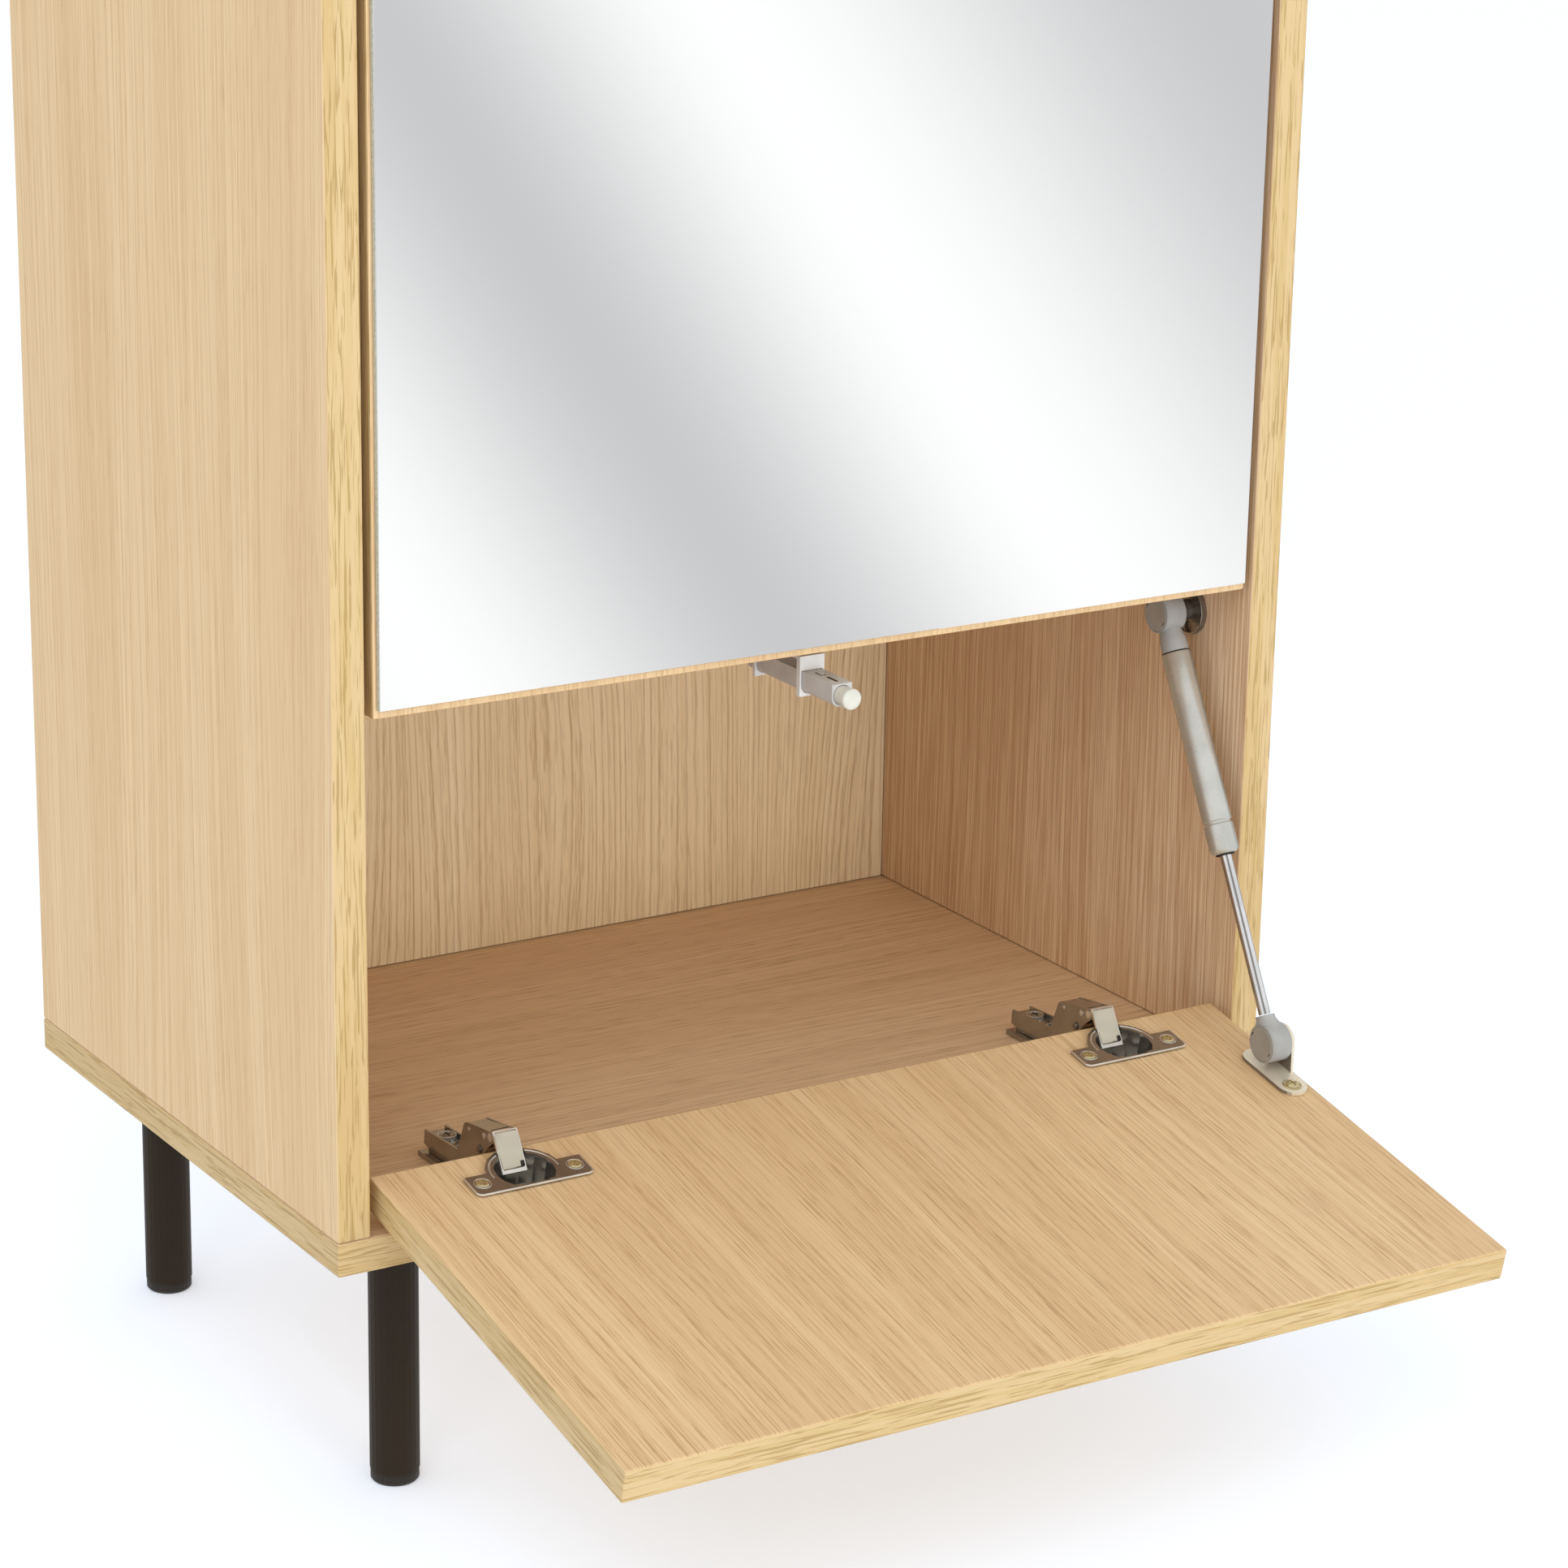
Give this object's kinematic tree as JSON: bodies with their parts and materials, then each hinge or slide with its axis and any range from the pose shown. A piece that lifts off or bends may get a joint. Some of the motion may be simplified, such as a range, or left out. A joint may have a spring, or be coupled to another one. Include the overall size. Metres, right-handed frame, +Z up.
{
  "type": "mirror cabinet",
  "caption": "Tall oak-finish cabinet on round metal legs, with a mirror door on concealed hinges and a drop-down lower flap held by a gas strut and a push latch.",
  "frame": {"origin": "on the floor, under the middle of the box that holds the whole cabinet with its flap open", "axes": "+X to the right of someone facing the mirror, +Y towards the cabinet's back, +Z up"},
  "size_m": [0.522, 0.5672, 1.8005],
  "materials": {
    "oak": "oak-grain melamine, satin",
    "oak_dark": "oak-grain melamine, satin, darker",
    "mirror": "silvered glass",
    "black_steel": "dark powder coat",
    "black_plastic": "moulded",
    "nickel": "nickel plated",
    "satin_silver": "satin silver lacquer",
    "polished_rod": "polished",
    "grey_plastic": "moulded, satin",
    "white_plastic": "moulded, satin"
  },
  "bodies": {
    "root": {"left_side_panel": "oak", "right_side_panel": "oak", "bottom_panel": "oak", "top_panel": "oak", "back_panel": "oak_dark", "divider_shelf": "oak", "lower_loose_shelf": "oak", "upper_loose_shelf": "oak", "lower_shelf_pin_left_front": "nickel", "lower_shelf_pin_left_rear": "nickel", "lower_shelf_pin_right_front": "nickel", "lower_shelf_pin_right_rear": "nickel", "upper_shelf_pin_left_front": "nickel", "upper_shelf_pin_left_rear": "nickel", "upper_shelf_pin_right_front": "nickel", "upper_shelf_pin_right_rear": "nickel", "front_left_leg": "black_steel", "front_left_foot_glide": "black_plastic", "front_right_leg": "black_steel", "front_right_foot_glide": "black_plastic", "rear_left_leg": "black_steel", "rear_left_foot_glide": "black_plastic", "rear_right_leg": "black_steel", "rear_right_foot_glide": "black_plastic", "flap_hinge_left_plate": "nickel", "flap_hinge_left_arm": "nickel", "flap_hinge_right_plate": "nickel", "flap_hinge_right_arm": "nickel", "door_hinge_bottom_plate": "nickel", "door_hinge_bottom_arm": "nickel", "door_hinge_middle_plate": "nickel", "door_hinge_middle_arm": "nickel", "door_hinge_top_plate": "nickel", "door_hinge_top_arm": "nickel", "strut_wall_bracket": "nickel", "flap_latch_collar": "white_plastic", "door_latch_case": "white_plastic"},
    "flap": {"flap_panel": "oak", "flap_hinge_left_cup": "nickel", "flap_hinge_right_cup": "nickel", "strut_flap_bracket": "nickel"},
    "flap_link_left": {"flap_hinge_left_link": "nickel"},
    "flap_link_right": {"flap_hinge_right_link": "nickel"},
    "strut_cylinder": {"strut_upper_eye": "grey_plastic", "strut_tube": "satin_silver"},
    "strut_piston_rod": {"strut_rod": "polished_rod"},
    "strut_foot": {"strut_lower_eye": "grey_plastic"},
    "latch_slide": {"flap_latch_body": "grey_plastic"},
    "latch_pusher": {"flap_latch_plunger": "white_plastic"},
    "door": {"mirror_door_panel": "oak", "mirror_glass": "mirror", "door_hinge_bottom_cup": "nickel", "door_hinge_middle_cup": "nickel", "door_hinge_top_cup": "nickel"},
    "door_link_bottom": {"door_hinge_bottom_link": "nickel"},
    "door_link_middle": {"door_hinge_middle_link": "nickel"},
    "door_link_top": {"door_hinge_top_link": "nickel"},
    "door_pusher": {"door_latch_plunger": "grey_plastic"}
  },
  "joints": [
    {"name": "flap_hinge", "type": "hinge", "parent": "root", "child": "flap", "pos_m": [0, -0.05333, 0.15565], "axis": [1, 0, 0], "range_deg": [-101.6, 0]},
    {"name": "flap_link_left_pivot", "type": "hinge", "parent": "root", "child": "flap_link_left", "pos_m": [-0.1702, -0.04572, 0.1764], "axis": [1, 0, 0], "range_deg": [0, 41.65]},
    {"name": "flap_link_right_pivot", "type": "hinge", "parent": "root", "child": "flap_link_right", "pos_m": [0.1698, -0.04572, 0.1764], "axis": [1, 0, 0], "range_deg": [0, 41.65]},
    {"name": "strut_upper_pivot", "type": "hinge", "parent": "root", "child": "strut_cylinder", "pos_m": [0.2285, -0.00982, 0.3685], "axis": [1, 0, 0], "range_deg": [0, 17.09]},
    {"name": "strut_rod_slide", "type": "slide", "parent": "strut_cylinder", "child": "strut_piston_rod", "axis": [0, 0.4609, 0.8875], "range_m": [0, 0.10552]},
    {"name": "strut_lower_pivot", "type": "hinge", "parent": "flap", "child": "strut_foot", "pos_m": [0.2285, -0.11212, 0.1715], "axis": [1, 0, 0], "range_deg": [0, 123.21]},
    {"name": "latch_body_slide", "type": "slide", "parent": "root", "child": "latch_slide", "axis": [0, 1, 0], "range_m": [0, 0.02892]},
    {"name": "latch_plunger_slide", "type": "slide", "parent": "latch_slide", "child": "latch_pusher", "axis": [0, 1, 0], "range_m": [0, 0.00662]},
    {"name": "door_hinge", "type": "hinge", "parent": "root", "child": "door", "pos_m": [-0.23105, -0.05333, 0.1447], "axis": [0, 0, -1], "range_deg": [0, 100]},
    {"name": "door_link_bottom_pivot", "type": "hinge", "parent": "root", "child": "door_link_bottom", "pos_m": [-0.2103, -0.04572, 0.4947], "axis": [0, 0, -1], "range_deg": [-40.99, 0]},
    {"name": "door_link_middle_pivot", "type": "hinge", "parent": "root", "child": "door_link_middle", "pos_m": [-0.2103, -0.04572, 1.0857], "axis": [0, 0, -1], "range_deg": [-40.99, 0]},
    {"name": "door_link_top_pivot", "type": "hinge", "parent": "root", "child": "door_link_top", "pos_m": [-0.2103, -0.04572, 1.6767], "axis": [0, 0, -1], "range_deg": [-40.99, 0]},
    {"name": "door_latch_plunger_slide", "type": "slide", "parent": "root", "child": "door_pusher", "axis": [0, -1, 0], "range_m": [0, 0.03002]}
  ],
  "couplings": [
    {"joint": "flap_link_left_pivot", "follows": "flap_hinge", "ratio": -0.40945},
    {"joint": "flap_link_right_pivot", "follows": "flap_hinge", "ratio": -0.40945},
    {"joint": "strut_upper_pivot", "follows": "flap_hinge", "ratio": -0.16774},
    {"joint": "strut_rod_slide", "follows": "flap_hinge", "m_per_rad": -0.059495},
    {"joint": "strut_lower_pivot", "follows": "flap_hinge", "ratio": -1.2122},
    {"joint": "latch_body_slide", "follows": "flap_hinge", "m_per_rad": -0.016298},
    {"joint": "latch_plunger_slide", "follows": "flap_hinge", "m_per_rad": -0.003722},
    {"joint": "door_link_bottom_pivot", "follows": "door_hinge", "ratio": -0.40945},
    {"joint": "door_link_middle_pivot", "follows": "door_hinge", "ratio": -0.40945},
    {"joint": "door_link_top_pivot", "follows": "door_hinge", "ratio": -0.40945},
    {"joint": "door_latch_plunger_slide", "follows": "door_hinge", "m_per_rad": 0.017189}
  ]
}
